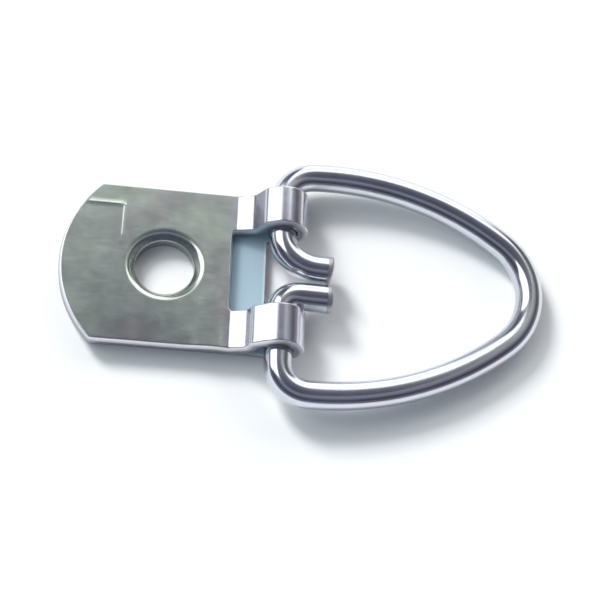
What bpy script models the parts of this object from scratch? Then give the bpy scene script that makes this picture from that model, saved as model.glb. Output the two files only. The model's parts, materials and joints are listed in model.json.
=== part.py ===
# Picture hanger: a steel strap folded round the legs of a wire D-ring.
# Units are metres, +Z is up, and the strap lies on the plane z = 0.
# +X runs from the strap towards the nose of the ring, and the hinge axis lies along Y.

import math

import bmesh
import bpy
from mathutils import Matrix, Vector

MM = 0.001

# Sheet steel strap
SHEET_THICKNESS = 0.9 * MM
STRAP_WIDTH = 15.3 * MM
STRAP_REACH = 19.4 * MM            # hinge axis to the far tip of the rounded end
END_RISE = 3.2 * MM                # how far the rounded end stands out from its corners
LEAF_GAP = 0.1 * MM                # between the two leaves
WIRE_CLEARANCE = 0.1 * MM          # between the wire and the fold round it
RAMP_ANGLE = math.radians(60.0)    # slope of the top leaf where it climbs over the wire
RAMP_BEND_RADIUS = 0.8 * MM        # hollow bend at the foot of that slope

# Window between the two knuckles, as wide as the curled wire ends need
TOP_WINDOW_REACH = 4.3 * MM        # hinge axis to the window's edge in the top leaf
BOTTOM_WINDOW_REACH = 1.2 * MM     # hinge axis to the window's edge in the bottom leaf

# Dimpled screw hole: the top leaf is drawn down into a larger hole in the bottom leaf
HOLE_LAND = 2.5 * MM               # flat metal between the window and the hole's mouth
THROAT_DIAMETER = 5.2 * MM
MOUTH_RADIUS = 0.8 * MM            # rounding from the top face into the throat
COLLAR_WALL = 0.65 * MM
COLLAR_CLEARANCE = 0.12 * MM       # round the collar, in the bottom leaf's hole
COLLAR_LIFT = 0.15 * MM            # the collar's lip stays above the back face

# Wire ring
WIRE_DIAMETER = 2.5 * MM
RING_LENGTH = 22.8 * MM            # hinge axis to the wire's centre at the nose
LEG_STANDOFF = 0.4 * MM            # straight leg outside the strap, before the corner
CORNER_INSIDE_RADIUS = 1.45 * MM
ARM_RADIUS = 26.5 * MM
NOSE_RADIUS = 6.4 * MM
LEFT_END_INSIDE_RADIUS = 1.85 * MM     # curl of the cut end on the +Y side
RIGHT_END_INSIDE_RADIUS = 0.35 * MM    # tighter curl of the cut end on the -Y side
END_STRAIGHT = 1.45 * MM           # straight run after the wider curl
END_GAP = 0.3 * MM                 # between the two cut ends
END_BEND_CLEARANCE = 0.05 * MM     # from the knuckle's side to where an end starts to curl

# Fineness of the curved surfaces
FOLD_STEP = math.radians(7.5)
HOLE_SEGMENTS = 64
MOUTH_STEPS = 6
END_ARC_STEPS = 24
WIRE_BEVEL_RESOLUTION = 8
BEND_STEP = math.radians(9.0)
ARM_STEP = math.radians(3.0)
SMOOTH_ANGLE = math.radians(35.0)
WELD_DISTANCE = 0.001 * MM

# How far cutters run past what they cut
OVERSHOOT = 3.0 * MM

# Sizes that follow from those above
WIRE_RADIUS = WIRE_DIAMETER / 2
FOLD_INNER_RADIUS = WIRE_RADIUS + WIRE_CLEARANCE
FOLD_OUTER_RADIUS = FOLD_INNER_RADIUS + SHEET_THICKNESS
AXIS_HEIGHT = FOLD_OUTER_RADIUS
TOP_LEAF_UNDERSIDE = SHEET_THICKNESS + LEAF_GAP
TOP_FACE = TOP_LEAF_UNDERSIDE + SHEET_THICKNESS
HALF_WIDTH = STRAP_WIDTH / 2
END_RADIUS = (HALF_WIDTH ** 2 + END_RISE ** 2) / (2 * END_RISE)
THROAT_RADIUS = THROAT_DIAMETER / 2
MOUTH_RIM_RADIUS = THROAT_RADIUS + MOUTH_RADIUS
COLLAR_RADIUS = THROAT_RADIUS + COLLAR_WALL
HOLE_DISTANCE = TOP_WINDOW_REACH + HOLE_LAND + MOUTH_RIM_RADIUS
KNUCKLE_HEIGHT = 2 * FOLD_OUTER_RADIUS
BETWEEN_LEAVES = SHEET_THICKNESS + LEAF_GAP / 2
CORNER_RADIUS = CORNER_INSIDE_RADIUS + WIRE_RADIUS
LEFT_END_RADIUS = LEFT_END_INSIDE_RADIUS + WIRE_RADIUS
RIGHT_END_RADIUS = RIGHT_END_INSIDE_RADIUS + WIRE_RADIUS
END_REACH = max(LEFT_END_RADIUS, RIGHT_END_RADIUS) + END_STRAIGHT
ENDS_WIDTH = WIRE_DIAMETER + END_GAP + LEFT_END_RADIUS + RIGHT_END_RADIUS
WINDOW_WIDTH = ENDS_WIDTH + 2 * END_BEND_CLEARANCE

# The nose of the ring rests on the plane that the strap lies on
REST_TILT = math.asin((AXIS_HEIGHT - WIRE_RADIUS) / RING_LENGTH)
NOSE_X = RING_LENGTH * math.cos(REST_TILT) + WIRE_RADIUS

# The origin is under the middle of the whole hanger
HINGE_X = (STRAP_REACH - NOSE_X) / 2
HOLE_X = HINGE_X - HOLE_DISTANCE

STRAP_COLOUR = (0.55, 0.57, 0.56, 1.0)
STRAP_ROUGHNESS = 0.3
RING_COLOUR = (0.6, 0.62, 0.64, 1.0)
RING_ROUGHNESS = 0.18
METALLIC = 1.0


def clear_scene():
    for item in list(bpy.data.objects):
        bpy.data.objects.remove(item, do_unlink=True)


def make_collection(name):
    collection = bpy.data.collections.new(name)
    bpy.context.scene.collection.children.link(collection)
    return collection


def make_material(name, colour, roughness):
    material = bpy.data.materials.new(name)
    material.use_nodes = True
    shader = material.node_tree.nodes["Principled BSDF"]
    shader.inputs["Base Color"].default_value = colour
    shader.inputs["Roughness"].default_value = roughness
    shader.inputs["Metallic"].default_value = METALLIC
    return material


def arc(centre, radius, start, end, step):
    """Points on an arc, both ends included."""
    count = max(1, round(abs(end - start) / step))
    points = []
    for index in range(count + 1):
        angle = start + (end - start) * index / count
        points.append((centre[0] + radius * math.cos(angle), centre[1] + radius * math.sin(angle)))
    return points


def link_cutter(item, collection):
    collection.objects.link(item)
    item.hide_render = True
    item.display_type = "WIRE"
    return item


def extruded_outline(name, points, thickness, matrix):
    """A flat outline, extruded evenly to both sides of its plane, as a mesh object."""
    curve = bpy.data.curves.new(name, "CURVE")
    curve.dimensions = "2D"
    curve.fill_mode = "BOTH"
    curve.extrude = thickness / 2
    spline = curve.splines.new("POLY")
    spline.points.add(len(points) - 1)
    for point, (x, y) in zip(spline.points, points):
        point.co = (x, y, 0.0, 1.0)
    spline.use_cyclic_u = True
    flat = bpy.data.objects.new(name + "_outline", curve)
    bpy.context.scene.collection.objects.link(flat)
    flat.matrix_world = matrix
    bpy.context.view_layer.update()
    evaluated = flat.evaluated_get(bpy.context.evaluated_depsgraph_get())
    mesh = bpy.data.meshes.new_from_object(evaluated)
    mesh.name = name
    shell = bmesh.new()
    shell.from_mesh(mesh)
    bmesh.ops.remove_doubles(shell, verts=shell.verts, dist=WELD_DISTANCE)
    shell.to_mesh(mesh)
    shell.free()
    solid = bpy.data.objects.new(name, mesh)
    solid.matrix_world = flat.matrix_world
    bpy.data.objects.remove(flat, do_unlink=True)
    return solid


def box_between(name, low, high):
    mesh = bpy.data.meshes.new(name)
    shell = bmesh.new()
    size = Vector(high) - Vector(low)
    middle = (Vector(high) + Vector(low)) / 2
    matrix = Matrix.Translation(middle) @ Matrix.Diagonal((*size, 1.0))
    bmesh.ops.create_cube(shell, size=1.0, matrix=matrix)
    shell.to_mesh(mesh)
    shell.free()
    return bpy.data.objects.new(name, mesh)


def turned_about_hole(name, profile):
    """A turned shape on the screw hole's axis, from a profile of radii and heights, top first."""
    mesh = bpy.data.meshes.new(name)
    shell = bmesh.new()
    verts = [shell.verts.new((radius, 0.0, height)) for radius, height in profile]
    for upper, lower in zip(verts, verts[1:]):
        shell.edges.new((upper, lower))
    shell.to_mesh(mesh)
    shell.free()
    item = bpy.data.objects.new(name, mesh)
    item.location = (HOLE_X, 0.0, 0.0)
    screw = item.modifiers.new("turn", "SCREW")
    screw.axis = "Z"
    screw.angle = math.tau
    screw.steps = HOLE_SEGMENTS
    screw.render_steps = HOLE_SEGMENTS
    screw.use_merge_vertices = True
    screw.merge_threshold = WELD_DISTANCE
    return item


def side_profile():
    """The folded sheet seen along Y, as x from the hinge axis and height above the back face."""
    axis = (0.0, AXIS_HEIGHT)
    hollow_radius = RAMP_BEND_RADIUS + SHEET_THICKNESS
    hollow_height = TOP_LEAF_UNDERSIDE + hollow_radius
    reach = hollow_radius + FOLD_INNER_RADIUS
    rise = AXIS_HEIGHT - hollow_height + reach * math.cos(RAMP_ANGLE)
    run = rise / math.tan(RAMP_ANGLE)
    hollow = (-reach * math.sin(RAMP_ANGLE) - run, hollow_height)
    quarter = math.pi / 2
    ramp_top = quarter + RAMP_ANGLE
    ramp_foot = RAMP_ANGLE - quarter
    points = [(-STRAP_REACH, 0.0)]
    points += arc(axis, FOLD_OUTER_RADIUS, -quarter, ramp_top, FOLD_STEP)
    points += arc(hollow, RAMP_BEND_RADIUS, ramp_foot, -quarter, FOLD_STEP)
    points += [(-STRAP_REACH, TOP_FACE), (-STRAP_REACH, TOP_LEAF_UNDERSIDE)]
    points += arc(hollow, hollow_radius, -quarter, ramp_foot, FOLD_STEP)
    points += arc(axis, FOLD_INNER_RADIUS, ramp_top, -quarter, FOLD_STEP)
    points += [(-STRAP_REACH, SHEET_THICKNESS)]
    return points


def plan_outline():
    """The strap seen from above: straight sides and one rounded end, x from the hinge axis."""
    half_angle = math.asin(HALF_WIDTH / END_RADIUS)
    centre = (END_RADIUS - STRAP_REACH, 0.0)
    step = 2 * half_angle / END_ARC_STEPS
    points = arc(centre, END_RADIUS, math.pi - half_angle, math.pi + half_angle, step)
    front = FOLD_OUTER_RADIUS + OVERSHOOT
    points += [(front, -HALF_WIDTH), (front, HALF_WIDTH)]
    return points


def funnel_profile():
    """Radii and heights of the screw hole's void: a rounded mouth above a straight throat."""
    quarter = math.pi / 2
    centre = (MOUTH_RIM_RADIUS, TOP_FACE - MOUTH_RADIUS)
    mouth = arc(centre, MOUTH_RADIUS, quarter, math.pi, quarter / MOUTH_STEPS)
    top = TOP_FACE + OVERSHOOT
    bottom = -OVERSHOOT
    return [(0.0, top), (MOUTH_RIM_RADIUS, top)] + mouth + [(THROAT_RADIUS, bottom), (0.0, bottom)]


def plug_profile(radius, top, bottom):
    return [(0.0, top), (radius, top), (radius, bottom), (0.0, bottom)]


def boolean(item, operation, other):
    modifier = item.modifiers.new(other.name, "BOOLEAN")
    modifier.operation = operation
    modifier.solver = "EXACT"
    modifier.object = other


def make_strap(parts, cutters):
    upright = Matrix.Translation((HINGE_X, 0.0, 0.0)) @ Matrix.Rotation(math.pi / 2, 4, "X")
    strap = extruded_outline("folded_strap", side_profile(), STRAP_WIDTH + 2 * OVERSHOOT, upright)
    parts.objects.link(strap)

    level = Matrix.Translation((HINGE_X, 0.0, 0.0))
    height = 2 * (KNUCKLE_HEIGHT + OVERSHOOT)
    plan = link_cutter(extruded_outline("plan_shape", plan_outline(), height, level), cutters)
    boolean(strap, "INTERSECT", plan)

    half_window = WINDOW_WIDTH / 2
    front = HINGE_X + FOLD_OUTER_RADIUS + OVERSHOOT
    above = KNUCKLE_HEIGHT + OVERSHOOT
    top_window = box_between("top_leaf_window",
                             (HINGE_X - TOP_WINDOW_REACH, -half_window, BETWEEN_LEAVES),
                             (front, half_window, above))
    bottom_window = box_between("bottom_leaf_window",
                                (HINGE_X - BOTTOM_WINDOW_REACH, -half_window, -OVERSHOOT),
                                (front, half_window, AXIS_HEIGHT))
    boolean(strap, "DIFFERENCE", link_cutter(top_window, cutters))
    boolean(strap, "DIFFERENCE", link_cutter(bottom_window, cutters))

    seat_radius = COLLAR_RADIUS + COLLAR_CLEARANCE
    seat = turned_about_hole("bottom_leaf_hole", plug_profile(seat_radius, BETWEEN_LEAVES, -OVERSHOOT))
    collar_top = TOP_LEAF_UNDERSIDE + SHEET_THICKNESS / 2
    collar = turned_about_hole("hole_collar", plug_profile(COLLAR_RADIUS, collar_top, COLLAR_LIFT))
    boolean(strap, "DIFFERENCE", link_cutter(seat, cutters))
    boolean(strap, "UNION", link_cutter(collar, cutters))
    boolean(strap, "DIFFERENCE", link_cutter(turned_about_hole("hole_funnel", funnel_profile()), cutters))

    strap.data.shade_smooth()
    strap.data.set_sharp_from_angle(angle=SMOOTH_ANGLE)
    strap.data.materials.append(make_material("strap_zinc_plate", STRAP_COLOUR, STRAP_ROUGHNESS))
    return strap


def arm_centre(corner, nose):
    """Centre of the arm's arc, which is tangent to the corner's arc and the nose's arc."""
    to_corner = ARM_RADIUS - CORNER_RADIUS
    to_nose = ARM_RADIUS - NOSE_RADIUS
    span = (nose - corner).length
    along = (to_corner ** 2 - to_nose ** 2 + span ** 2) / (2 * span)
    aside = math.sqrt(to_corner ** 2 - along ** 2)
    direction = (nose - corner).normalized()
    return corner + along * direction + aside * Vector((direction.y, -direction.x))


def half_ring(end_radius):
    """Centre line of one half of the ring, from its cut end to the nose, with y positive."""
    quarter = math.pi / 2
    bend_y = ENDS_WIDTH / 2
    corner = Vector((CORNER_RADIUS, HALF_WIDTH + LEG_STANDOFF))
    nose = Vector((RING_LENGTH - NOSE_RADIUS, 0.0))
    arm = arm_centre(corner, nose)
    shoulder = math.atan2(corner.y - arm.y, corner.x - arm.x)
    hip = math.atan2(nose.y - arm.y, nose.x - arm.x)
    points = [(END_REACH, bend_y - end_radius)]
    points += arc((end_radius, bend_y), end_radius, -quarter, -math.pi, BEND_STEP)
    points += arc(corner, CORNER_RADIUS, math.pi, shoulder, BEND_STEP)
    points += arc(arm, ARM_RADIUS, shoulder, hip, ARM_STEP)[1:]
    points += arc(nose, NOSE_RADIUS, hip, 0.0, BEND_STEP)[1:]
    return points


def make_ring(parts):
    left = half_ring(LEFT_END_RADIUS)
    right = [(x, -y) for x, y in half_ring(RIGHT_END_RADIUS)]
    right.reverse()
    points = left + right[1:]

    curve = bpy.data.curves.new("d_ring", "CURVE")
    curve.dimensions = "3D"
    curve.bevel_depth = WIRE_RADIUS
    curve.bevel_resolution = WIRE_BEVEL_RESOLUTION
    curve.use_fill_caps = True
    spline = curve.splines.new("POLY")
    spline.points.add(len(points) - 1)
    for point, (x, y) in zip(spline.points, points):
        point.co = (x, y, 0.0, 1.0)
    curve.materials.append(make_material("ring_zinc_plate", RING_COLOUR, RING_ROUGHNESS))

    ring = bpy.data.objects.new("d_ring", curve)
    parts.objects.link(ring)
    ring.location = (HINGE_X, 0.0, AXIS_HEIGHT)
    ring.rotation_euler = (0.0, REST_TILT, 0.0)
    return ring


def main():
    clear_scene()
    parts = make_collection("d_ring_strap_hanger")
    cutters = make_collection("d_ring_strap_hanger_cutters")
    make_strap(parts, cutters)
    make_ring(parts)
    bpy.context.view_layer.update()


main()
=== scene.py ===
import json
import math

import bmesh
import bpy
from mathutils import Matrix, Vector, noise
from mathutils.geometry import delaunay_2d_cdt


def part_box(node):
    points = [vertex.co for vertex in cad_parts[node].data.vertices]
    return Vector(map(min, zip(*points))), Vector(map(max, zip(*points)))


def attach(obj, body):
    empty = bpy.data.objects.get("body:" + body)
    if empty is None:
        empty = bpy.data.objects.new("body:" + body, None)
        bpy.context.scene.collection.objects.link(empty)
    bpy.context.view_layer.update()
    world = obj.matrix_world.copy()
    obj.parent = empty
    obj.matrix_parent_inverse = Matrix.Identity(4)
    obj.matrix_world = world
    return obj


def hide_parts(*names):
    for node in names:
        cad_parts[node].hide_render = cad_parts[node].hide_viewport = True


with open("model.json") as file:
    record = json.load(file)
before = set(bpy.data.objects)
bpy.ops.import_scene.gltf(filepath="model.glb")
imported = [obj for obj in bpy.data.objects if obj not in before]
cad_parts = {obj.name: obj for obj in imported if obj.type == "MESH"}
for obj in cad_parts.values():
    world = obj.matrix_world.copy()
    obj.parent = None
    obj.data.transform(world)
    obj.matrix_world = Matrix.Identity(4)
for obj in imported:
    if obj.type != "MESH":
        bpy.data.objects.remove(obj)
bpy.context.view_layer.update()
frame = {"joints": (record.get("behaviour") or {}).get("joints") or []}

mm = 0.001
hair = 0.01                  # millimetres, less than this is nothing
uvPerMm = 0.1                # flat patterns are laid out at this scale
noiseSpan = (0.3, 0.7)       # where most of a noise lies
hinge = Vector(frame["joints"][0]["pos_m"]) / mm
strapLow, strapHigh = [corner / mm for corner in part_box("folded_strap")]
print("frame loaded, hinge at", [round(v, 3) for v in hinge], "mm")


# the photograph's camera, fitted to the strap's corners and the ring
photoCamera = {
    "imageSide": 600,        # pixels
    "pixelsPerMm": 11.202,   # at the point aimed at
    "distance": 124.0,
    "aim": (-0.267, -1.457, 0.0),
    "azimuth": -15.02,
    "elevation": 63.68,
    "roll": 18.48,
    "sensor": 36.0,
    "clip": (0.005, 20.0),   # metres
}


def makeCamera(shot):
    turn = math.radians(shot["azimuth"])
    lift = math.radians(shot["elevation"])
    roll = math.radians(shot["roll"])
    back = Vector((math.sin(turn) * math.cos(lift), -math.cos(turn) * math.cos(lift), math.sin(lift)))
    level = Vector((math.cos(turn), math.sin(turn), 0.0))
    upright = back.cross(level)
    right = level * math.cos(roll) + upright * math.sin(roll)
    up = upright * math.cos(roll) - level * math.sin(roll)

    lens = bpy.data.cameras.new("photoCamera")
    lens.sensor_width = shot["sensor"]
    lens.lens = shot["pixelsPerMm"] * shot["distance"] / shot["imageSide"] * shot["sensor"]
    lens.clip_start, lens.clip_end = shot["clip"]
    camera = bpy.data.objects.new("photoCamera", lens)
    bpy.context.scene.collection.objects.link(camera)
    place = (Vector(shot["aim"]) + back * shot["distance"]) * mm
    camera.matrix_world = Matrix.Translation(place) @ Matrix((right, up, back)).transposed().to_4x4()
    bpy.context.scene.camera = camera


makeCamera(photoCamera)
print("camera placed")


def spread(first, last, count):
    return [first + (last - first) * i / count for i in range(count + 1)]


def smooth(value, low, high):
    t = min(max((value - low) / (high - low), 0.0), 1.0)
    return t * t * (3.0 - 2.0 * t)


def softCorner(start, corner, stop, count=6):
    points = []
    for t in spread(0.0, 1.0, count):
        points.append(start * (1 - t) ** 2 + corner * 2 * t * (1 - t) + stop * t ** 2)
    return points


def finishMesh(name, vertices, faces, sharpAngle):
    mesh = bpy.data.meshes.new(name)
    mesh.from_pydata([Vector(v) * mm for v in vertices], [], faces)
    mesh.validate()
    mesh.shade_smooth()
    mesh.set_sharp_from_angle(angle=math.radians(sharpAngle))
    piece = bpy.data.objects.new(name, mesh)
    bpy.context.scene.collection.objects.link(piece)
    return piece


def storeFloats(mesh, name, values):
    layer = mesh.attributes.new(name, "FLOAT", "POINT")
    layer.data.foreach_set("value", values)


# loose points out, faces turned outwards
def cleanMesh(mesh):
    net = bmesh.new()
    net.from_mesh(mesh)
    bmesh.ops.delete(net, geom=[v for v in net.verts if not v.link_faces], context="VERTS")
    bmesh.ops.recalc_face_normals(net, faces=net.faces)
    net.to_mesh(mesh)
    net.free()


# the strap: one flat blank of sheet, cut, dimpled and folded round the wire; millimetres and degrees
strapShape = {
    "sheet": 0.9,
    "leafGap": 0.1,
    # each lug was closed by itself: how far the sheet goes round the wire, how far it runs on,
    # the slopes of the ramp and the flank, and where its foot is, from the hinge
    "farLug": {
        "wrap": 211.0,
        "crownRun": 0.4,
        "ramp": 60.0,
        "rampBend": 0.5,     # inside radius
        "flank": 16.0,
        "foot": 4.2,
    },
    "nearLug": {
        "wrap": 213.0,
        "crownRun": 1.2,
        "ramp": 70.0,
        "rampBend": 0.3,
        "flank": 20.0,
        "foot": 4.4,
    },
    "kinkBend": 0.05,        # inside radii
    "flankBend": 0.9,
    "leafStart": 4.4,        # the top leaf is flat from here on
    "bottomTrim": 0.18,      # the bottom leaf is a touch narrower
    "trimBlend": (3.0, 2.0),     # and widens over this much either side of the fold's start
    "endRise": 3.2,
    "endCorner": 0.35,
    "topWindow": 4.3,        # window edges, from the hinge
    "bottomWindow": 1.2,
    "windowWidth": 7.6,
    "windowCorner": 0.4,
    "edgeRoll": 0.12,        # rounding left by the punch
    "rollAngle": 72.0,
    "edgeSlant": 0.13,       # the sheared band leans in towards the outer face
    "edgeBreak": 0.03,       # torn band under it
    "tornFrom": (0.1, 0.25),     # where it breaks off, in shares of half the sheet
    "tornCorner": 0.05,
    "edgeRim": 0.06,         # strip of the flat face beside an edge
    "holeDistance": 10.2,
    "throat": 2.6,
    "throatAngle": 88.0,     # all but upright
    "mouthLip": 0.75,        # easy radius at the rim of the dimple
    "mouthSlope": 45.0,
    "mouthRun": 0.45,        # straight slope below it
    "mouthTurn": 0.3,        # tighter radius down into the throat
    "mouthRim": (0.35, 0.12),    # two rings of flat face outside it
    "collarWall": 0.65,      # drawn down through a larger hole in the bottom leaf
    "collarRoom": 0.12,
    "collarLift": 0.15,
    "collarSoft": (0.12, 0.04),
    "collarFillet": 0.3,
    "dimpleBlend": 4.4,
    "leafFade": (0.5, 3.0),  # the leaf's unevenness comes in past the window
    "ripple": 0.012,         # it is never quite flat
    "rippleSpan": 6.0,
    "rippleSeed": 4.2,
    "rippleFrom": 6.5,       # from the middle of the hole
    "droop": 0.055,          # its near side rolled down a little in the shear
    "droopFrom": -0.5,
    "spring": 0.15,          # and lifted again by the near lug's foot
    "springRun": (0.1, 1.0, 2.0, 4.0),
    "panelBead": 0.02,       # thin bead round a plain panel at the left end, dying out to the near side
    "panelRight": 14.1,      # from the hinge
    "panelFar": 5.6,
    "panelNear": (-3.5, 4.5),
    "beadHalf": 0.13,
    "darkEdge": 0.8,         # how dark the torn edges are, and the painted shade on the bottom leaf's edges and in the throat; the far lug's ramp, a painted dark reflection, is darkest
    "throatPaintedShade": 0.6,
    "throatWall": 0.03,
    "rampPaintedShade": (0.15, 0.1, 0.25),       # how the painted dark reflection comes and goes there
    "lugBlend": (1.5, 0.3, 0.6),         # and the tint on both lugs
    # the net: spacing, and the room it leaves beside corners, edges and the dimple
    "columnStep": 0.55,
    "columnRoom": 0.03,
    "rowStep": 0.5,
    "bendStep": 4.0,
    "endRoom": 0.2,
    "windowRoom": 0.1,
    "cutRoom": 0.15,
    "dimpleRoom": 0.1,
    "sideRoom": 0.45,
    "pointRoom": 0.05,       # square millimetres
    "joinWithin": 1e-5,
    "endSides": 40,
    "holeSides": 72,
    "dimpleSides": 96,
    "beadSteps": (40, 24),
    "sharpAngle": 42.0,
}


class FoldedBlank:
    def __init__(self, shape):
        self.shape = shape
        self.reach = hinge.x - strapLow.x
        self.width = strapHigh.y - strapLow.y
        self.leafMid = 1.5 * shape["sheet"] + shape["leafGap"]
        self.legs = self.lugLegs(shape["farLug"])
        self.nearLegs = self.lugLegs(shape["nearLug"])
        self.bent = sum(leg[0] for leg in self.legs[1:])
        self.nearBent = sum(leg[0] for leg in self.nearLegs[1:])
        leaf = (self.reach - shape["leafStart"], 0.0)
        self.rampStart = sum(leg[0] for leg in self.legs[:4])
        self.rampStop = sum(leg[0] for leg in self.legs[:6])
        self.legs.append(leaf)
        self.nearLegs.append(leaf)
        self.length = self.reach + self.bent + leaf[0]
        self.holeS = self.onTop(shape["holeDistance"])
        self.clearance = shape["throat"] + shape["collarWall"] + shape["collarRoom"]

    # the mid line of one lug; each leg is its length and the angle it turns through
    def lugLegs(self, lug):
        half = self.shape["sheet"] / 2
        foldMid = hinge.z - half
        kinkMid = self.shape["kinkBend"] + half
        rampMid = lug["rampBend"] + half
        footMid = self.shape["flankBend"] + half
        wrap = math.radians(lug["wrap"])
        crown = wrap - math.pi
        ramp = math.radians(lug["ramp"])
        flank = math.radians(lug["flank"])
        # the ramp and the flank share the fall and the run that the bends leave over
        fall = hinge.z + foldMid * math.cos(crown) - self.leafMid - lug["crownRun"] * math.sin(crown)
        fall -= kinkMid * (math.cos(crown) - math.cos(ramp))
        fall -= rampMid * (math.cos(flank) - math.cos(ramp)) + footMid * (1 - math.cos(flank))
        run = lug["foot"] - foldMid * math.sin(crown) - lug["crownRun"] * math.cos(crown)
        run -= kinkMid * (math.sin(ramp) - math.sin(crown))
        run -= rampMid * (math.sin(ramp) - math.sin(flank)) + footMid * math.sin(flank)
        rampRun = (fall * math.cos(flank) - run * math.sin(flank)) / math.sin(ramp - flank)
        flankRun = (run * math.sin(ramp) - fall * math.cos(ramp)) / math.sin(ramp - flank)
        legs = [
            (self.reach, 0.0),
            (foldMid * wrap, wrap),
            (lug["crownRun"], 0.0),
            (kinkMid * (ramp - crown), ramp - crown),
            (rampRun, 0.0),
            (rampMid * (ramp - flank), flank - ramp),
            (flankRun, 0.0),
            (footMid * flank, -flank),
            (self.shape["leafStart"] - lug["foot"], 0.0),
        ]
        return [leg for leg in legs if leg[0] > hair]

    def place(self, s, near):
        legs = self.legs
        if near:
            legs = self.nearLegs
            past = min(max(s - self.reach, 0.0), self.bent)
            s += past * (self.nearBent / self.bent - 1)
        x, z, heading = -self.reach, self.shape["sheet"] / 2, 0.0
        for run, turn in legs:
            step = min(s, run)
            if turn:
                bend = turn * step / run
                radius = run / turn
                x += radius * (math.sin(heading + bend) - math.sin(heading))
                z -= radius * (math.cos(heading + bend) - math.cos(heading))
                heading += bend
            else:
                x += step * math.cos(heading)
                z += step * math.sin(heading)
            s -= step
            if s <= 0:
                break
        return x, z, heading

    def point(self, s, y, n):
        x, z, heading = self.place(s, y < 0)
        n += self.relief(s, y, n)
        before, after = self.shape["trimBlend"]
        trim = self.shape["bottomTrim"] * (1 - smooth(s, self.reach - before, self.reach + after))
        y *= 1 - trim * 2 / self.width
        return (hinge.x + x + n * math.sin(heading), y, z - n * math.cos(heading))

    def onTop(self, distance):
        return self.length - (self.reach - distance)

    # 1 on the lugs, 0 on the flat leaves
    def lugShare(self, s):
        rise, before, after = self.shape["lugBlend"]
        stop = self.onTop(self.shape["leafStart"])
        return smooth(s, self.reach - rise, self.reach) * (1 - smooth(s, stop - before, stop + after))

    # painted shade and torn edges: the torn band of the edges, and as painted shade all of the bottom
    # leaf's edges, the throat, and the far lug's ramp, which carries a painted dark reflection
    def tornEdgeAndPaintedShade(self, s, y, n, worn):
        shape = self.shape
        if worn:
            # all of the bottom leaf's edges are darkened as painted shade under the top leaf; the top
            # leaf only on its torn band
            torn = n > hair - shape["sheet"] / 2 and (s < self.reach or n < 0)
            return shape["darkEdge"] if torn else 0.0
        # painted shade down the throat of the dimple
        if math.hypot(s - self.holeS, y) < shape["throat"] + shape["throatWall"]:
            return shape["throatPaintedShade"]
        if y < 0 or n < 0:
            return 0.0
        # painted dark reflection: a darker strip along the far lug's ramp, on the outer face
        before, after, fade = shape["rampPaintedShade"]
        dark = smooth(s, self.rampStart - before, self.rampStart + after)
        return dark * (1 - smooth(s, self.rampStop - fade, self.rampStop))

    # true in the openings and in the strip of rounded edge beside them
    def isCutOut(self, s, y):
        shape = self.shape
        rim = shape["edgeRoll"] + shape["edgeSlant"] + shape["cutRoom"]
        if self.reach - shape["bottomWindow"] - rim < s < self.onTop(shape["topWindow"]) + rim:
            if abs(y) < shape["windowWidth"] / 2 + rim:
                return True
        if math.hypot(s - self.reach + shape["holeDistance"], y) < self.clearance + rim:
            return True
        return math.hypot(s - self.holeS, y) < shape["dimpleBlend"] + shape["dimpleRoom"]

    def bead(self, offset):
        across = min(abs(offset) / self.shape["beadHalf"], 1.0)
        return (1 + math.cos(math.pi * across)) / 2

    # small unevenness of the top leaf, and the bead raised on its outer face
    def relief(self, s, y, n):
        shape = self.shape
        distance = self.reach - (self.length - s)
        window = shape["topWindow"]
        if distance < window:
            return 0.0
        first, last = shape["leafFade"]
        fade = smooth(distance, window + first, window + last)
        past = max(shape["droopFrom"] - y, 0.0) / (self.width / 2 + shape["droopFrom"])
        lift = -shape["droop"] * fade * past ** 2
        first, last, leave, gone = shape["springRun"]
        sprung = smooth(distance, window + first, window + last)
        sprung *= 1 - smooth(distance, window + leave, window + gone)
        lift += shape["spring"] * sprung * past
        fromHole = math.hypot(distance - shape["holeDistance"], y)
        fade *= smooth(fromHole, shape["dimpleBlend"], shape["rippleFrom"])
        span = shape["rippleSpan"]
        wave = noise.noise(Vector((distance / span, y / span, shape["rippleSeed"])))
        lift += shape["ripple"] * fade * wave
        if n > 0:
            wide = shape["beadHalf"]
            right = self.bead(distance - shape["panelRight"]) * smooth(y, *shape["panelNear"])
            right *= 1 - smooth(y, shape["panelFar"] - wide, shape["panelFar"] + wide)
            far = self.bead(y - shape["panelFar"])
            far *= smooth(distance, shape["panelRight"] - wide, shape["panelRight"] + wide)
            lift += shape["panelBead"] * max(right, far)
        return lift

    # where the net needs a column, for both lugs
    def columns(self):
        found = []
        for legs, share in ((self.legs, 1.0), (self.nearLegs, self.bent / self.nearBent)):
            stops = [0.0]
            for i, (run, turn) in enumerate(legs):
                if turn:
                    count = max(int(math.degrees(abs(turn)) / self.shape["bendStep"] + 0.5), 4)
                else:
                    count = max(int(run / self.shape["columnStep"] + 0.5), 2)
                if 0 < i < len(legs) - 1:
                    run *= share
                stops += spread(stops[-1], stops[-1] + run, count)[1:]
            found += stops
        kept = []
        for stop in sorted(found):
            if not kept or stop - kept[-1] > self.shape["columnRoom"]:
                kept.append(stop)
        return kept


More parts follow.
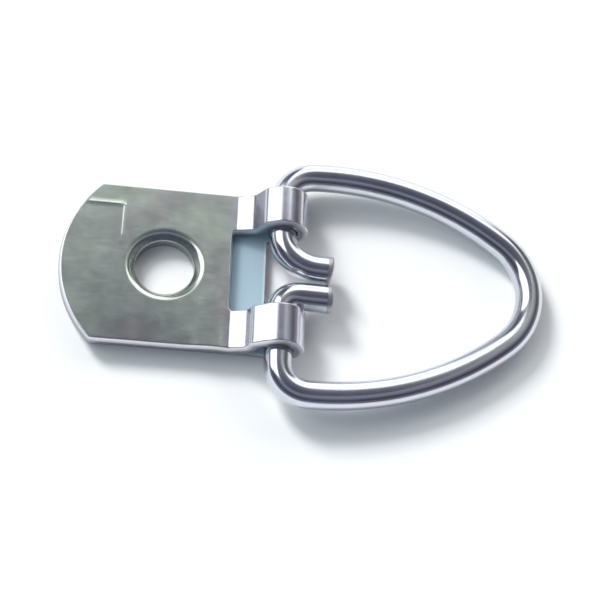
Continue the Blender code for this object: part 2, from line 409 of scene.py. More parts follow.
def outlineLoop(blank, columns):
    shape = blank.shape
    half = blank.width / 2
    rise = shape["endRise"]
    soft = shape["endCorner"]
    radius = (half ** 2 + rise ** 2) / (2 * rise)
    sweep = math.asin(half / radius) - soft / radius
    near = []
    for a in spread(sweep, -sweep, shape["endSides"]):
        near.append(Vector((radius - radius * math.cos(a), radius * math.sin(a))))
    far = [Vector((blank.length - p.x, -p.y)) for p in near]
    low, high = rise + soft, blank.length - rise - soft
    room = shape["endRoom"]
    inside = [s for s in columns if low + room < s < high - room]
    points = near[:-1]
    points += softCorner(near[-1], Vector((rise, -half)), Vector((low, -half)))
    points += [Vector((s, -half)) for s in inside]
    points += softCorner(Vector((high, -half)), Vector((blank.length - rise, -half)), far[0])
    points += far[1:-1]
    points += softCorner(far[-1], Vector((blank.length - rise, half)), Vector((high, half)))
    points += [Vector((s, half)) for s in reversed(inside)]
    points += softCorner(Vector((low, half)), Vector((rise, half)), near[0])[:-1]
    return points


def windowLoop(blank, columns):
    shape = blank.shape
    low = blank.reach - shape["bottomWindow"]
    high = blank.onTop(shape["topWindow"])
    half = shape["windowWidth"] / 2
    soft = shape["windowCorner"]
    room = soft + shape["windowRoom"]
    inside = [s for s in columns if low + room < s < high - room]
    across = spread(-half, half, int(2 * half / shape["rowStep"]))
    across = [y for y in across if abs(y) < half - room]

    def corner(*places):
        return softCorner(*[Vector(place) for place in places])

    points = corner((low, half - soft), (low, half), (low + soft, half))
    points += [Vector((s, half)) for s in inside]
    points += corner((high - soft, half), (high, half), (high, half - soft))
    points += [Vector((high, y)) for y in reversed(across)]
    points += corner((high, soft - half), (high, -half), (high - soft, -half))
    points += [Vector((s, -half)) for s in reversed(inside)]
    points += corner((low + soft, -half), (low, -half), (low, soft - half))
    points += [Vector((low, y)) for y in across]
    return points


def roundLoop(s, radius, count):
    turns = spread(0, -math.tau, count)[:-1]
    return [Vector((s + radius * math.cos(a), radius * math.sin(a))) for a in turns]


def insetLoop(points, depth):
    moved = []
    for i, point in enumerate(points):
        before = (point - points[i - 1]).normalized()
        after = (points[(i + 1) % len(points)] - point).normalized()
        aside = Vector((-before.y - after.y, before.x + after.x))
        moved.append(point + aside * depth / max(aside.length_squared / 2, 0.3))  # no spikes at corners
    return moved


# how the sheared edge goes from the outer face to the inner one: inset, height
def edgeSteps(shape):
    half = shape["sheet"] / 2
    roll, slant = shape["edgeRoll"], shape["edgeSlant"]
    torn, corner = shape["edgeBreak"], shape["tornCorner"]
    sheared, broken = shape["tornFrom"]
    face = slant + roll + shape["edgeRim"]
    steps = [(face, half)]
    for a in spread(0.0, math.radians(shape["rollAngle"]), 4):
        steps.append((slant + roll * (1 - math.sin(a)), half - roll * (1 - math.cos(a))))
    steps.append((0.0, -sheared * half))
    steps.append((torn, -broken * half))
    steps.append((torn, corner - half))
    steps.append((torn + corner, -half))
    steps.append((face, -half))
    return steps


# half section of the dimple and its collar, from the top face round to the underside
def dimpleSteps(shape):
    half = shape["sheet"] / 2
    throat = shape["throat"]
    collar = throat + shape["collarWall"]
    foot = shape["collarLift"] - 1.5 * shape["sheet"] - shape["leafGap"]
    lip, turn = shape["mouthLip"], shape["mouthTurn"]
    slope = math.radians(shape["mouthSlope"])
    upright = math.radians(shape["throatAngle"])
    slideIn = shape["mouthRun"] * math.cos(slope)
    slideDown = shape["mouthRun"] * math.sin(slope)
    rim = throat + lip * math.sin(slope) + turn * (math.sin(upright) - math.sin(slope)) + slideIn
    steps = [(rim + wide, half) for wide in shape["mouthRim"]]
    for a in spread(0, slope, 8):
        steps.append((rim - lip * math.sin(a), half - lip * (1 - math.cos(a))))
    r, h = steps[-1]
    for share in (0.5, 1.0):
        steps.append((r - share * slideIn, h - share * slideDown))
    r, h = steps[-1]
    for a in spread(slope, upright, 8)[1:]:
        inward = turn * (math.sin(a) - math.sin(slope))
        steps.append((r - inward, h - turn * (math.cos(slope) - math.cos(a))))
    soft, bevel = shape["collarSoft"]
    steps += [(throat, foot + soft), (throat + bevel, foot + bevel), (throat + soft, foot)]
    steps += [(collar - soft, foot), (collar - bevel, foot + bevel), (collar, foot + soft)]
    fillet = shape["collarFillet"]
    for a in spread(0, math.pi / 2, 4):
        steps.append((collar + fillet * (1 - math.cos(a)), -half - fillet * (1 - math.sin(a))))
    return steps


def makeStrap(shape):
    blank = FoldedBlank(shape)
    columns = blank.columns()
    half = shape["sheet"] / 2
    cutLoops = [
        outlineLoop(blank, columns),
        windowLoop(blank, columns),
        roundLoop(blank.reach - shape["holeDistance"], blank.clearance, shape["holeSides"]),
    ]
    rimLoop = roundLoop(blank.holeS, shape["dimpleBlend"], shape["dimpleSides"])

    flat = []      # s, y, height above the mid line
    edge = []      # 1 on a cut edge
    faces = []

    def addRing(points, height, worn):
        start = len(flat)
        flat.extend((p.x, p.y, height) for p in points)
        edge.extend([worn] * len(points))
        return list(range(start, len(flat)))

    def bridge(first, second):
        for i in range(len(first)):
            j = (i + 1) % len(first)
            faces.append((first[i], first[j], second[j], second[i]))

    outerRings, innerRings = [], []
    borders = []
    steps = edgeSteps(shape)
    for loop in cutLoops:
        rings = []
        for i, (inset, height) in enumerate(steps):
            # worn from halfway round the roll to the torn corner
            worn = 1.0 if 3 <= i <= len(steps) - 2 else 0.0
            rings.append(addRing(insetLoop(loop, inset), height, worn))
        for first, second in zip(rings, rings[1:]):
            bridge(first, second)
        outerRings.append(rings[0])
        innerRings.append(rings[-1])
        borders.append(insetLoop(loop, steps[0][0]))

    rings = [addRing(rimLoop, half, 0.0)]
    for r, height in dimpleSteps(shape):
        rings.append(addRing(roundLoop(blank.holeS, r, shape["dimpleSides"]), height, 0.0))
    rings.append(addRing(rimLoop, -half, 0.0))
    for first, second in zip(rings, rings[1:]):
        bridge(first, second)
    outerRings.append(rings[0])
    innerRings.append(rings[-1])
    borders.append(rimLoop)

    # the two faces are one triangle net, used twice
    net, netEdges = [], []
    for border in borders:
        start = len(net)
        net += border
        count = len(border)
        netEdges += [(start + i, start + (i + 1) % count) for i in range(count)]
    ringCount = len(net)
    seen = [(p.x, p.y) for p in net]
    rows = spread(-blank.width / 2, blank.width / 2, int(blank.width / shape["rowStep"]))
    inside = [(s, y) for s in columns for y in rows]
    # the bead gets rows of its own
    panelS = blank.onTop(shape["panelRight"])
    acrossSteps, alongSteps = shape["beadSteps"]
    across = spread(shape["panelNear"][0], shape["panelFar"], acrossSteps)
    along = spread(panelS, blank.length, alongSteps)
    for offset in (-1.0, -0.5, 0.0, 0.5, 1.0):
        shift = offset * shape["beadHalf"]
        inside += [(panelS + shift, y) for y in across]
        inside += [(s, shape["panelFar"] + shift) for s in along]
    for s, y in inside:
        if abs(y) > blank.width / 2 - shape["sideRoom"] or blank.isCutOut(s, y):
            continue
        if min((s - a) ** 2 + (y - b) ** 2 for a, b in seen) > shape["pointRoom"]:
            net.append(Vector((s, y)))
    cut = delaunay_2d_cdt(net, netEdges, [], 1, shape["joinWithin"])
    corners, origin = cut[0], [source[0] for source in cut[3]]
    owner = [i for i, border in enumerate(borders) for _ in border]
    owner += [-1 - i for i in range(len(net) - ringCount)]
    # a triangle with all its corners on one opening's border lies in that opening
    triangles = []
    for triangle in cut[2]:
        held = {owner[origin[i]] for i in triangle}
        if len(held) > 1 or held == {0}:
            triangles.append(triangle)

    def faceVertices(rings, height):
        border = [v for ring in rings for v in ring]
        found = []
        for i, corner in enumerate(corners):
            if origin[i] < ringCount:
                found.append(border[origin[i]])
            else:
                flat.append((corner.x, corner.y, height))
                edge.append(0.0)
                found.append(len(flat) - 1)
        return found

    outer = faceVertices(outerRings, half)
    inner = faceVertices(innerRings, -half)
    for triangle in triangles:
        faces.append(tuple(outer[i] for i in reversed(triangle)))
        faces.append(tuple(inner[i] for i in triangle))

    strap = finishMesh("strap_sheet", [blank.point(*p) for p in flat], faces, shape["sharpAngle"])
    mesh = strap.data
    layer = mesh.uv_layers.new(name="sheetFlat")
    for loop in mesh.loops:
        s, y = flat[loop.vertex_index][:2]
        layer.data[loop.index].uv = (s * uvPerMm, y * uvPerMm)
    storeFloats(mesh, "cutEdge", edge)
    storeFloats(mesh, "insideFace", [1.0 if abs(p[2] + half) < hair else 0.0 for p in flat])
    storeFloats(mesh, "lugShare", [blank.lugShare(p[0]) for p in flat])
    storeFloats(mesh, "tornEdgeAndPaintedShade", [blank.tornEdgeAndPaintedShade(*p, worn) for p, worn in zip(flat, edge)])

    cleanMesh(mesh)
    return strap


strap = makeStrap(strapShape)
print("strap:", len(strap.data.polygons), "faces")


# the ring: bright drawn wire bent to a D, with both cut ends turned in at the window
ringShape = {
    "wire": 2.5,
    "length": 22.8,          # hinge to the middle of the wire at the nose
    "standOff": 0.4,         # corner's start outside the strap
    "cornerInside": 1.45,
    "armRadius": 26.5,
    "noseRadius": 6.4,
    "leftCurl": 3.1,         # middle of the wire at the two turned ends
    "rightCurl": 1.6,
    "endReach": 4.55,
    "endsWidth": 7.5,
    "tilt": 2.514,           # the nose rests on the table
    # each arm is off to one side at the hinge, and comes back over its length
    "farLean": (-0.95, 1.25),
    "nearLean": (-0.65, 0.95),
    "spacing": 0.14,
    "easing": 14,            # passes that blend one bend into the next
    "sides": 40,
    "flatten": 0.035,        # the wire goes oval in tight bends
    "bulge": 0.4,            # and a share of that taller
    "bendSteps": 3,          # a bend is measured over this many points either way
    "endRound": 0.22,
    "endSlant": 0.1,
    "endRoom": 0.1,
    "endWorn": 2.0,          # bare metal this many roundings back from the cut
    "endHollow": ((0.72, 0.02), (0.4, 0.05)),
    "endDeep": 0.055,
    "endPattern": 0.1,
    "sharpAngle": 50.0,
}


def arc(centre, radius, first, last, step=3.0):
    count = max(int(abs(math.degrees(last - first)) / step), 2)
    return [centre + Vector((math.cos(a), math.sin(a))) * radius for a in spread(first, last, count)]


def halfRing(shape, curl):
    cornerRadius = shape["cornerInside"] + shape["wire"] / 2
    bendY = shape["endsWidth"] / 2
    corner = Vector((cornerRadius, strapHigh.y + shape["standOff"]))
    nose = Vector((shape["length"] - shape["noseRadius"], 0.0))
    toCorner = shape["armRadius"] - cornerRadius
    toNose = shape["armRadius"] - shape["noseRadius"]
    span = (nose - corner).length
    along = (toCorner ** 2 - toNose ** 2 + span ** 2) / (2 * span)
    aside = math.sqrt(toCorner ** 2 - along ** 2)
    way = (nose - corner).normalized()
    arm = corner + way * along + Vector((way.y, -way.x)) * aside
    shoulder = math.atan2(corner.y - arm.y, corner.x - arm.x)
    hip = math.atan2(nose.y - arm.y, nose.x - arm.x)
    points = [Vector((shape["endReach"], bendY - curl))]
    points += arc(Vector((curl, bendY)), curl, -math.pi / 2, -math.pi)
    points += arc(corner, cornerRadius, math.pi, shoulder)
    points += arc(arm, shape["armRadius"], shoulder, hip, 0.5)[1:]
    points += arc(nose, shape["noseRadius"], hip, 0.0)[1:]
    return points


def evenSteps(points, spacing):
    runs = [0.0]
    for a, b in zip(points, points[1:]):
        runs.append(runs[-1] + (b - a).length)
    count = int(runs[-1] / spacing)
    found, i = [], 0
    for target in spread(0.0, runs[-1], count):
        while i < len(points) - 2 and runs[i + 1] < target:
            i += 1
        t = (target - runs[i]) / max(runs[i + 1] - runs[i], 1e-9)
        found.append(points[i].lerp(points[i + 1], min(t, 1.0)))
    return found


def easeBends(points, passes):
    for _ in range(passes):
        middle = [(a + b * 2 + c) / 4 for a, b, c in zip(points, points[1:], points[2:])]
        points = [points[0]] + middle + [points[-1]]
    return points


def makeRing(shape):
    left = halfRing(shape, shape["leftCurl"])
    right = [Vector((p.x, -p.y)) for p in halfRing(shape, shape["rightCurl"])]
    path = left + list(reversed(right))[1:]
    # the legs take up the lean, so the turned ends stay where they are
    for p in path:
        offset, recover = shape["farLean"] if p.y > 0 else shape["nearLean"]
        held = 1.0
        if p.x < shape["endReach"] + shape["endRoom"]:
            held = smooth(abs(p.y), shape["endsWidth"] / 2, strapHigh.y)
        p.y += held * (offset + recover * p.x / shape["length"])
    path = easeBends(evenSteps(path, shape["spacing"]), shape["easing"])
    path = evenSteps(path, shape["spacing"])

    tilt = math.radians(shape["tilt"])
    ahead = Vector((math.cos(tilt), 0.0, -math.sin(tilt)))
    across = Vector((0.0, 1.0, 0.0))
    upward = ahead.cross(across)

    def lift(flat):
        return hinge + ahead * flat.x + across * flat.y

    sides = shape["sides"]
    radius = shape["wire"] / 2
    vertices, faces, flatUv, edge = [], [], [], []

    def addRing(centre, aside, wide, tall, slant, worn):
        start = len(vertices)
        for k in range(sides):
            a = math.tau * k / sides
            vertices.append(centre + aside * (wide * math.cos(a)) + upward * (tall * math.sin(a))
                            + slant * math.cos(a) * wide / radius)
            edge.append(worn)
        return start

    def bridge(first, second, v0, v1):
        for k in range(sides):
            j = (k + 1) % sides
            faces.append((first + k, first + j, second + j, second + k))
            u0 = math.tau * radius * k / sides
            u1 = math.tau * radius * (k + 1) / sides
            flatUv.append([(u0, v0), (u1, v0), (u1, v1), (u0, v1)])

    # rounded, slightly slanting cut end: inset, setback along the wire
    soft = shape["endRound"]
    endSteps = []
    for a in spread(0.0, math.pi / 2, 4):
        endSteps.append((soft * (1 - math.cos(a)), soft * (1 - math.sin(a))))
    rings = []
    apart = shape["bendSteps"]
    for i, point in enumerate(path):
        before = path[max(i - 1, 0)]
        after = path[min(i + 1, len(path) - 1)]
        way = (after - before).normalized()
        aside = Vector((-way.y, way.x))
        bend = 0.0
        if apart <= i < len(path) - apart:
            first = (point - path[i - apart]).normalized()
            second = (path[i + apart] - point).normalized()
            bend = first.angle(second) / (apart * shape["spacing"])
        squash = shape["flatten"] * min(bend * radius, 1.0)
        aside3 = across * aside.y + ahead * aside.x
        way3 = across * way.y + ahead * way.x
        wide, tall = radius * (1 - squash), radius * (1 + shape["bulge"] * squash)
        travel = i * shape["spacing"]
        fromEnd = min(i, len(path) - 1 - i) * shape["spacing"]
        if i in (0, len(path) - 1):
            into = 1 if i == 0 else -1
            slant = way3 * (into * shape["endSlant"])
            for inset, setback in endSteps[::-into]:
                scale = 1 - inset / radius
                centre = lift(point) + way3 * (into * setback)
                ring = addRing(centre, aside3, wide * scale, tall * scale, slant, 1.0)
                rings.append((ring, travel + into * setback))
        elif fromEnd > soft + shape["endRoom"]:
            worn = 1.0 if fromEnd < shape["endWorn"] * soft else 0.0
            rings.append((addRing(lift(point), aside3, wide, tall, Vector(), worn), travel))

    for (first, v0), (second, v1) in zip(rings, rings[1:]):
        bridge(first, second, v0, v1)

    # the two cut faces, a little hollow
    step = shape["endPattern"]
    for ring, turned in ((rings[0][0], False), (rings[-1][0], True)):
        rim = [vertices[ring + k] for k in range(sides)]
        centre = sum(rim, Vector()) / sides
        inward = (lift(path[4]) - lift(path[0])) if not turned else (lift(path[-5]) - lift(path[-1]))
        inward.normalize()
        previous = [ring + k for k in range(sides)]
        for share, sink in shape["endHollow"]:
            start = len(vertices)
            for p in rim:
                vertices.append(centre + (p - centre) * share + inward * sink)
                edge.append(1.0)
            current = [start + k for k in range(sides)]
            for k in range(sides):
                j = (k + 1) % sides
                quad = (previous[k], previous[j], current[j], current[k])
                faces.append(quad if turned else quad[::-1])
                flatUv.append([(step * k, 0.0), (step * j, 0.0), (step * j, share), (step * k, share)])
            previous = current
        vertices.append(centre + inward * shape["endDeep"])
        edge.append(1.0)
        for k in range(sides):
            j = (k + 1) % sides
            faces.append((previous[k], previous[j], len(vertices) - 1))
            flatUv.append([(step * k, 0.0), (step * j, 0.0), (step * k, 0.5)])

    ring = finishMesh("ring_wire", vertices, faces, shape["sharpAngle"])
    mesh = ring.data
    layer = mesh.uv_layers.new(name="wireFlat")
    for polygon in mesh.polygons:
        for loopIndex, uv in zip(polygon.loop_indices, flatUv[polygon.index]):
            layer.data[loopIndex].uv = (uv[0] * uvPerMm, uv[1] * uvPerMm)
    storeFloats(mesh, "cutEdge", edge)
    cleanMesh(mesh)
    return ring


ring = makeRing(ringShape)
print("ring:", len(ring.data.polygons), "faces")


class Finish:
    def __init__(self, name):
        self.material = bpy.data.materials.new(name)
        self.material.use_nodes = True
        self.tree = self.material.node_tree
        self.tree.nodes.clear()
        self.shader = self.add("ShaderNodeBsdfPrincipled")
        out = self.add("ShaderNodeOutputMaterial")
        self.join(self.shader, "BSDF", out, "Surface")

    def add(self, kind, **settings):
        made = self.tree.nodes.new(kind)
        for key, value in settings.items():
            setattr(made, key, value)
        return made

    def join(self, source, output, target, socket):
        self.tree.links.new(source.outputs[output], target.inputs[socket])

    # flat pattern of the piece, stretched differently along and across
    def pattern(self, layer, along, across):
        uv = self.add("ShaderNodeUVMap", uv_map=layer)
        scale = self.add("ShaderNodeMapping")
        scale.inputs["Scale"].default_value = (along, across, 1.0)
        self.join(uv, "UV", scale, "Vector")
        return scale

    def grain(self, source, output, size, detail, roughness):
        made = self.add("ShaderNodeTexNoise")
        made.inputs["Scale"].default_value = size
        made.inputs["Detail"].default_value = detail
        made.inputs["Roughness"].default_value = roughness
        self.join(source, output, made, "Vector")
        return made

    def ramp(self, source, output, stops):
        made = self.add("ShaderNodeValToRGB")
        bar = made.color_ramp.elements
        while len(bar) < len(stops):
            bar.new(0.5)
        for element, (position, colour) in zip(bar, stops):
            element.position = position
            element.color = (*colour, 1.0)
        self.join(source, output, made, "Fac")
        return made

    def span(self, source, output, low, high, start=0.0, stop=1.0):
        made = self.add("ShaderNodeMapRange")
        made.inputs["From Min"].default_value = start
        made.inputs["From Max"].default_value = stop
        made.inputs["To Min"].default_value = low
        made.inputs["To Max"].default_value = high
        self.join(source, output, made, "Value")
        return made

    def mixColour(self, factor, first, second, kind="MIX"):
        made = self.add("ShaderNodeMix", data_type="RGBA", blend_type=kind)
        if isinstance(factor, float):
            made.inputs[0].default_value = factor
        else:
            self.tree.links.new(factor, made.inputs[0])
        for value, socket in ((first, made.inputs[6]), (second, made.inputs[7])):
            if isinstance(value, tuple):
                socket.default_value = (*value, 1.0)
            else:
                self.tree.links.new(value, socket)
        return made.outputs[2]

    def work(self, operation, first, second):
        made = self.add("ShaderNodeMath", operation=operation)
        for value, socket in ((first, made.inputs[0]), (second, made.inputs[1])):
            if isinstance(value, (int, float)):
                socket.default_value = value
            else:
                self.tree.links.new(value, socket)
        return made.outputs[0]

    def bump(self, lines, speck, look):
        height = self.work("ADD", self.work("MULTIPLY", lines.outputs["Fac"], look["lines"]),
                           self.work("MULTIPLY", speck.outputs["Fac"], look["specks"]))
        strength, depth = look["bump"]
        made = self.add("ShaderNodeBump")
        made.inputs["Strength"].default_value = strength
        made.inputs["Distance"].default_value = depth
        self.tree.links.new(height, made.inputs["Height"])
        self.join(made, "Normal", self.shader, "Normal")


# bright zinc on rolled sheet
strapZinc = {
    "cool": (0.66, 0.725, 0.67),
    "green": (0.67, 0.74, 0.645),
    "violet": (0.63, 0.62, 0.61),
    "lugTint": (1.03, 0.97, 1.17),       # the film is bluer where the sheet was bent
    # colour of the painted shade and painted dark reflection, also used for the torn edges
    "tornEdgeAndPaintedShade": (0.27, 0.265, 0.305),
    "edge": (0.84, 0.85, 0.87),
    "rough": (0.18, 0.24),
    "edgeRough": 0.38,
    "inside": (0.50, 0.66, 0.75),
    "insideRough": 0.55,
    "insideDull": 0.6,       # share of the inner face that has gone chalky
    # noises: size, detail, roughness
    "cloud": (190.0, 3.0, 0.5),
    "stain": (420.0, 4.0, 0.6),
    "rolled": (3.0, 5.0, 0.65),
    "speck": (2600.0, 3.0, 0.7),
    "rolledStretch": (2.2, 40.0),        # along and across the sheet
    "tintAt": (0.34, 0.5, 0.66),
    "stainShade": (0.91, 1.06),
    "lineShade": (0.97, 1.03),
    "lineRough": (-0.03, 0.03),
    "lines": 0.2,            # shares of the two in the bump
    "specks": 0.12,
    "bump": (0.2, 0.00002),  # strength, depth in metres
}


def makeStrapZinc(look):
    zinc = Finish("strapZinc")
    where = zinc.add("ShaderNodeTexCoord")
    flat = zinc.pattern("sheetFlat", *look["rolledStretch"])
    cloud = zinc.grain(where, "Object", *look["cloud"])
    stain = zinc.grain(where, "Object", *look["stain"])
    rolled = zinc.grain(flat, "Vector", *look["rolled"])
    speck = zinc.grain(where, "Object", *look["speck"])

    tints = (look["violet"], look["cool"], look["green"])
    tint = zinc.ramp(cloud, "Fac", list(zip(look["tintAt"], tints)))
    shade = zinc.span(stain, "Fac", *look["stainShade"], *noiseSpan)
    colour = zinc.mixColour(1.0, tint.outputs["Color"], shade.outputs[0], "MULTIPLY")
    lines = zinc.span(rolled, "Fac", *look["lineShade"], *noiseSpan)
    colour = zinc.mixColour(1.0, colour, lines.outputs[0], "MULTIPLY")
    lug = zinc.add("ShaderNodeAttribute", attribute_name="lugShare")
    edge = zinc.add("ShaderNodeAttribute", attribute_name="cutEdge")
    inside = zinc.add("ShaderNodeAttribute", attribute_name="insideFace")
    tornEdgeAndPaintedShade = zinc.add("ShaderNodeAttribute", attribute_name="tornEdgeAndPaintedShade")
    colour = zinc.mixColour(lug.outputs["Fac"], colour, look["lugTint"], "MULTIPLY")
    colour = zinc.mixColour(inside.outputs["Fac"], colour, look["inside"])
    colour = zinc.mixColour(edge.outputs["Fac"], colour, look["edge"])
    # painted shade and painted dark reflection, with the darker torn edges, over the rest
    colour = zinc.mixColour(tornEdgeAndPaintedShade.outputs["Fac"], colour, look["tornEdgeAndPaintedShade"])
    zinc.tree.links.new(colour, zinc.shader.inputs["Base Color"])

    low, high = look["rough"]
    rough = zinc.span(stain, "Fac", low, high, *noiseSpan).outputs[0]
    streaks = zinc.span(rolled, "Fac", *look["lineRough"], *noiseSpan)
    rough = zinc.work("ADD", rough, streaks.outputs[0])
    dull = zinc.work("MULTIPLY", inside.outputs["Fac"], look["insideRough"] - low)
    fray = zinc.work("MULTIPLY", edge.outputs["Fac"], look["edgeRough"] - low)
    rough = zinc.work("ADD", rough, zinc.work("MAXIMUM", dull, fray))
    zinc.tree.links.new(rough, zinc.shader.inputs["Roughness"])

    zinc.bump(rolled, speck, look)
    bare = zinc.span(inside, "Fac", 1.0, 1.0 - look["insideDull"])
    zinc.join(bare, 0, zinc.shader, "Metallic")
    return zinc.material


# the same zinc on drawn wire, glossier and with fine lines along it
ringZinc = {
    "cool": (0.68, 0.72, 0.78),
    "warm": (0.66, 0.67, 0.70),
    "edge": (0.55, 0.56, 0.58),
    "rough": (0.10, 0.19),
    "edgeRough": 0.42,
    "cloud": (240.0, 3.0, 0.5),
    "drawn": (3.0, 5.0, 0.65),
    "speck": (2200.0, 3.0, 0.7),
    "drawnStretch": (60.0, 1.4),         # round and along the wire
    "tintAt": (0.36, 0.6),
    "lineShade": (0.92, 1.06),
    "roughAt": (0.35, 0.65),
    "lines": 0.5,
    "specks": 0.3,
    "bump": (0.25, 0.00002),
}


def makeRingZinc(look):
    zinc = Finish("ringZinc")
    where = zinc.add("ShaderNodeTexCoord")
    flat = zinc.pattern("wireFlat", *look["drawnStretch"])
    cloud = zinc.grain(where, "Object", *look["cloud"])
    drawn = zinc.grain(flat, "Vector", *look["drawn"])
    speck = zinc.grain(where, "Object", *look["speck"])

    tint = zinc.ramp(cloud, "Fac", list(zip(look["tintAt"], (look["warm"], look["cool"]))))
    lines = zinc.span(drawn, "Fac", *look["lineShade"], *noiseSpan)
    colour = zinc.mixColour(1.0, tint.outputs["Color"], lines.outputs[0], "MULTIPLY")
    edge = zinc.add("ShaderNodeAttribute", attribute_name="cutEdge")
    colour = zinc.mixColour(edge.outputs["Fac"], colour, look["edge"])
    zinc.tree.links.new(colour, zinc.shader.inputs["Base Color"])

    low, high = look["rough"]
    rough = zinc.span(cloud, "Fac", low, high, *look["roughAt"]).outputs[0]
    fray = zinc.work("MULTIPLY", edge.outputs["Fac"], look["edgeRough"] - low)
    zinc.tree.links.new(zinc.work("ADD", rough, fray), zinc.shader.inputs["Roughness"])

    zinc.bump(drawn, speck, look)
    zinc.shader.inputs["Metallic"].default_value = 1.0
    return zinc.material


strap.data.materials.append(makeStrapZinc(strapZinc))
ring.data.materials.append(makeRingZinc(ringZinc))
for piece, body, node, slot in (
    (strap, "strap", "folded_strap", "strap_zinc_plate"),
    (ring, "ring", "d_ring", "ring_zinc_plate"),
):
    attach(piece, body)
    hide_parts(node)
print("zinc finishes on")


# white table and soft light; metres and degrees
studio = {
    "floorHalf": 3.0,
    "floorDrop": 0.00002,
    "floorColour": (0.93, 0.93, 0.93),
    "floorLift": 0.03,       # added only where the table itself is seen, so it reads white
    "whiteFrom": (0.07, 0.4),            # and away from the part it goes to plain white
    "ambientLeft": (0.66, 0.78, 0.88),
    "ambientRight": (0.055, 0.065, 0.075),
    "ambientSpan": (0.05, -0.8),         # where it goes from the one to the other
    # the white backdrop behind the table, then the room above it
    "roomFade": [
        (0.06, (1.0, 1.0, 1.0)),
        (0.12, (0.22, 0.225, 0.25)),
        (0.30, (0.29, 0.30, 0.325)),
        (0.37, (0.09, 0.09, 0.13)),
        (0.55, (0.12, 0.13, 0.175)),
        (0.84, (0.50, 0.53, 0.53)),
        (0.9, (0.205, 0.21, 0.23)),
        (0.98, (0.17, 0.18, 0.23)),
    ],
    "roomRight": (1.2, 1.13, 1.05),      # the browner side of the room
    "rightSpan": (0.1, 0.8),
    "roomNear": (0.56, 0.55, 0.66),      # and the dim near side
    "nearSpan": (0.4, -0.15),
    # the window throws the shadows, the two cards are what the metal mirrors,
    # the fill only opens the shadows
    "window": {
        "azimuth": 131.0,
        "elevation": 36.0,
        "distance": 1.5,
        "wide": 0.39,
        "tall": 0.42,
        "power": 18.6,
    },
    "leftCard": {
        "azimuth": 150.0,
        "elevation": 43.0,
        "distance": 1.35,
        "wide": 1.14,
        "tall": 1.08,
        "power": 6.6,
    },
    "farCard": {
        "azimuth": 76.0,
        "elevation": 28.4,
        "distance": 1.8,
        "wide": 1.16,
        "tall": 1.80,
        "power": 8.5,
    },
    "rightFill": {
        "azimuth": 48.0,
        "elevation": 26.0,
        "distance": 1.8,
        "wide": 1.2,
        "tall": 0.8,
        "power": 9.0,
    },
}


def makeFloor(look):
    half = look["floorHalf"]
    mesh = bpy.data.meshes.new("table")
    corners = [(-half, -half), (half, -half), (half, half), (-half, half)]
    mesh.from_pydata([(x, y, -look["floorDrop"]) for x, y in corners], [], [(0, 1, 2, 3)])
    table = bpy.data.objects.new("table", mesh)
    bpy.context.scene.collection.objects.link(table)
    material = bpy.data.materials.new("whiteTable")
    material.use_nodes = True
    tree = material.node_tree
    tree.nodes.clear()
    add = tree.nodes.new
    join = tree.links.new
    plain = add("ShaderNodeBsdfDiffuse")
    plain.inputs["Color"].default_value = (*look["floorColour"], 1.0)
    glow = add("ShaderNodeEmission")
    place = add("ShaderNodeNewGeometry")
    away = add("ShaderNodeVectorMath")
    away.operation = "LENGTH"
    join(place.outputs["Position"], away.inputs[0])
    lift = add("ShaderNodeMapRange")
    lift.interpolation_type = "SMOOTHSTEP"
    lift.inputs["From Min"].default_value = look["whiteFrom"][0]
    lift.inputs["From Max"].default_value = look["whiteFrom"][1]
    lift.inputs["To Min"].default_value = look["floorLift"]
    join(away.outputs["Value"], lift.inputs["Value"])
    level = add("ShaderNodeMath")
    level.operation = "MULTIPLY"
    join(seenRays(tree), level.inputs[0])
    join(lift.outputs[0], level.inputs[1])
    join(level.outputs[0], glow.inputs["Strength"])
    both = add("ShaderNodeAddShader")
    join(plain.outputs[0], both.inputs[0])
    join(glow.outputs[0], both.inputs[1])
    out = add("ShaderNodeOutputMaterial")
    join(both.outputs[0], out.inputs["Surface"])
    mesh.materials.append(material)


def seenRays(tree):
    path = tree.nodes.new("ShaderNodeLightPath")
    total = path.outputs["Is Camera Ray"]
    for name in ("Is Glossy Ray", "Is Transmission Ray"):
        add = tree.nodes.new("ShaderNodeMath")
        add.operation = "MAXIMUM"
        tree.links.new(total, add.inputs[0])
        tree.links.new(path.outputs[name], add.inputs[1])
        total = add.outputs[0]
    return total


def makeCard(name, card, mirrored=True):
    turn = math.radians(card["azimuth"])
    lift = math.radians(card["elevation"])
    way = Vector((math.cos(turn) * math.cos(lift), math.sin(turn) * math.cos(lift), math.sin(lift)))
    lamp = bpy.data.lights.new(name, "AREA")
    lamp.shape = "RECTANGLE"
    lamp.size = card["wide"]
    lamp.size_y = card["tall"]
    lamp.energy = card["power"]
    made = bpy.data.objects.new(name, lamp)
    bpy.context.scene.collection.objects.link(made)
    made.location = way * card["distance"]
    made.rotation_euler = way.to_track_quat("Z", "Y").to_euler()
    made.visible_camera = False
    made.visible_glossy = mirrored


def rangeOf(tree, value, span):
    made = tree.nodes.new("ShaderNodeMapRange")
    made.inputs["From Min"].default_value = span[0]
    made.inputs["From Max"].default_value = span[1]
    tree.links.new(value, made.inputs["Value"])
    return made.outputs[0]


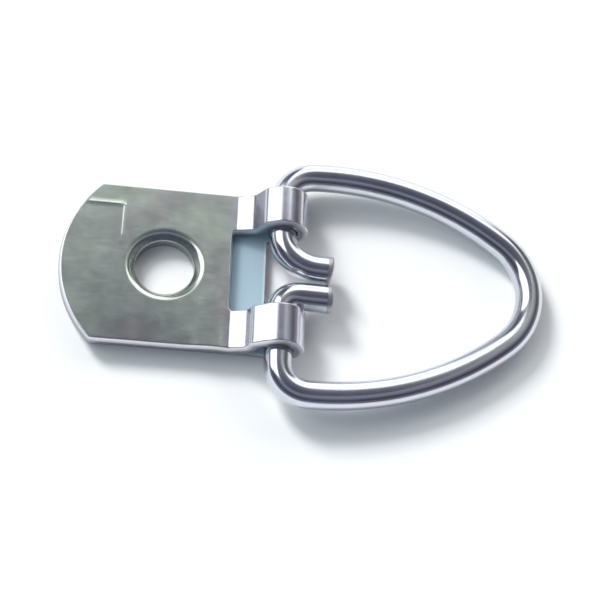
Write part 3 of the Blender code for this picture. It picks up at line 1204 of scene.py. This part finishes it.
def blend(tree, share, first, second, kind="MIX"):
    made = tree.nodes.new("ShaderNodeMix")
    made.data_type = "RGBA"
    made.blend_type = kind
    tree.links.new(share, made.inputs[0])
    if isinstance(first, tuple):
        made.inputs[6].default_value = (*first, 1.0)
    else:
        tree.links.new(first, made.inputs[6])
    made.inputs[7].default_value = (*second, 1.0)
    return made.outputs[2]


def makeWorld(look):
    world = bpy.data.worlds.new("room")
    bpy.context.scene.world = world
    world.use_nodes = True
    tree = world.node_tree
    tree.nodes.clear()
    add = tree.nodes.new
    join = tree.links.new
    where = add("ShaderNodeTexCoord")
    split = add("ShaderNodeSeparateXYZ")
    join(where.outputs["Generated"], split.inputs[0])

    # what the metal mirrors
    fade = add("ShaderNodeValToRGB")
    bar = fade.color_ramp.elements
    for stop in look["roomFade"][2:]:
        bar.new(stop[0])
    for stop, (position, colour) in zip(bar, look["roomFade"]):
        stop.position = position
        stop.color = (*colour, 1.0)
    join(split.outputs["Z"], fade.inputs["Fac"])
    right = rangeOf(tree, split.outputs["X"], look["rightSpan"])
    near = rangeOf(tree, split.outputs["Y"], look["nearSpan"])
    browned = blend(tree, right, fade.outputs["Color"], look["roomRight"], "MULTIPLY")
    room = add("ShaderNodeBackground")
    join(blend(tree, near, browned, look["roomNear"], "MULTIPLY"), room.inputs["Color"])

    # what lights the table, brighter from the left
    left = rangeOf(tree, split.outputs["X"], look["ambientSpan"])
    even = add("ShaderNodeBackground")
    join(blend(tree, left, look["ambientRight"], look["ambientLeft"]), even.inputs["Color"])

    white = add("ShaderNodeBackground")
    white.inputs["Color"].default_value = (1.0, 1.0, 1.0, 1.0)
    path = add("ShaderNodeLightPath")
    shown = even
    for rays, other in (("Is Glossy Ray", room), ("Is Camera Ray", white)):
        mixed = add("ShaderNodeMixShader")
        join(path.outputs[rays], mixed.inputs[0])
        join(shown.outputs[0], mixed.inputs[1])
        join(other.outputs[0], mixed.inputs[2])
        shown = mixed
    out = add("ShaderNodeOutputWorld")
    join(shown.outputs[0], out.inputs["Surface"])


makeFloor(studio)
makeCard("windowLight", studio["window"], mirrored=False)
makeCard("leftCard", studio["leftCard"])
makeCard("farCard", studio["farCard"])
makeCard("rightFill", studio["rightFill"], mirrored=False)
makeWorld(studio)
bpy.context.scene.view_settings.view_transform = "Standard"
print("studio set")
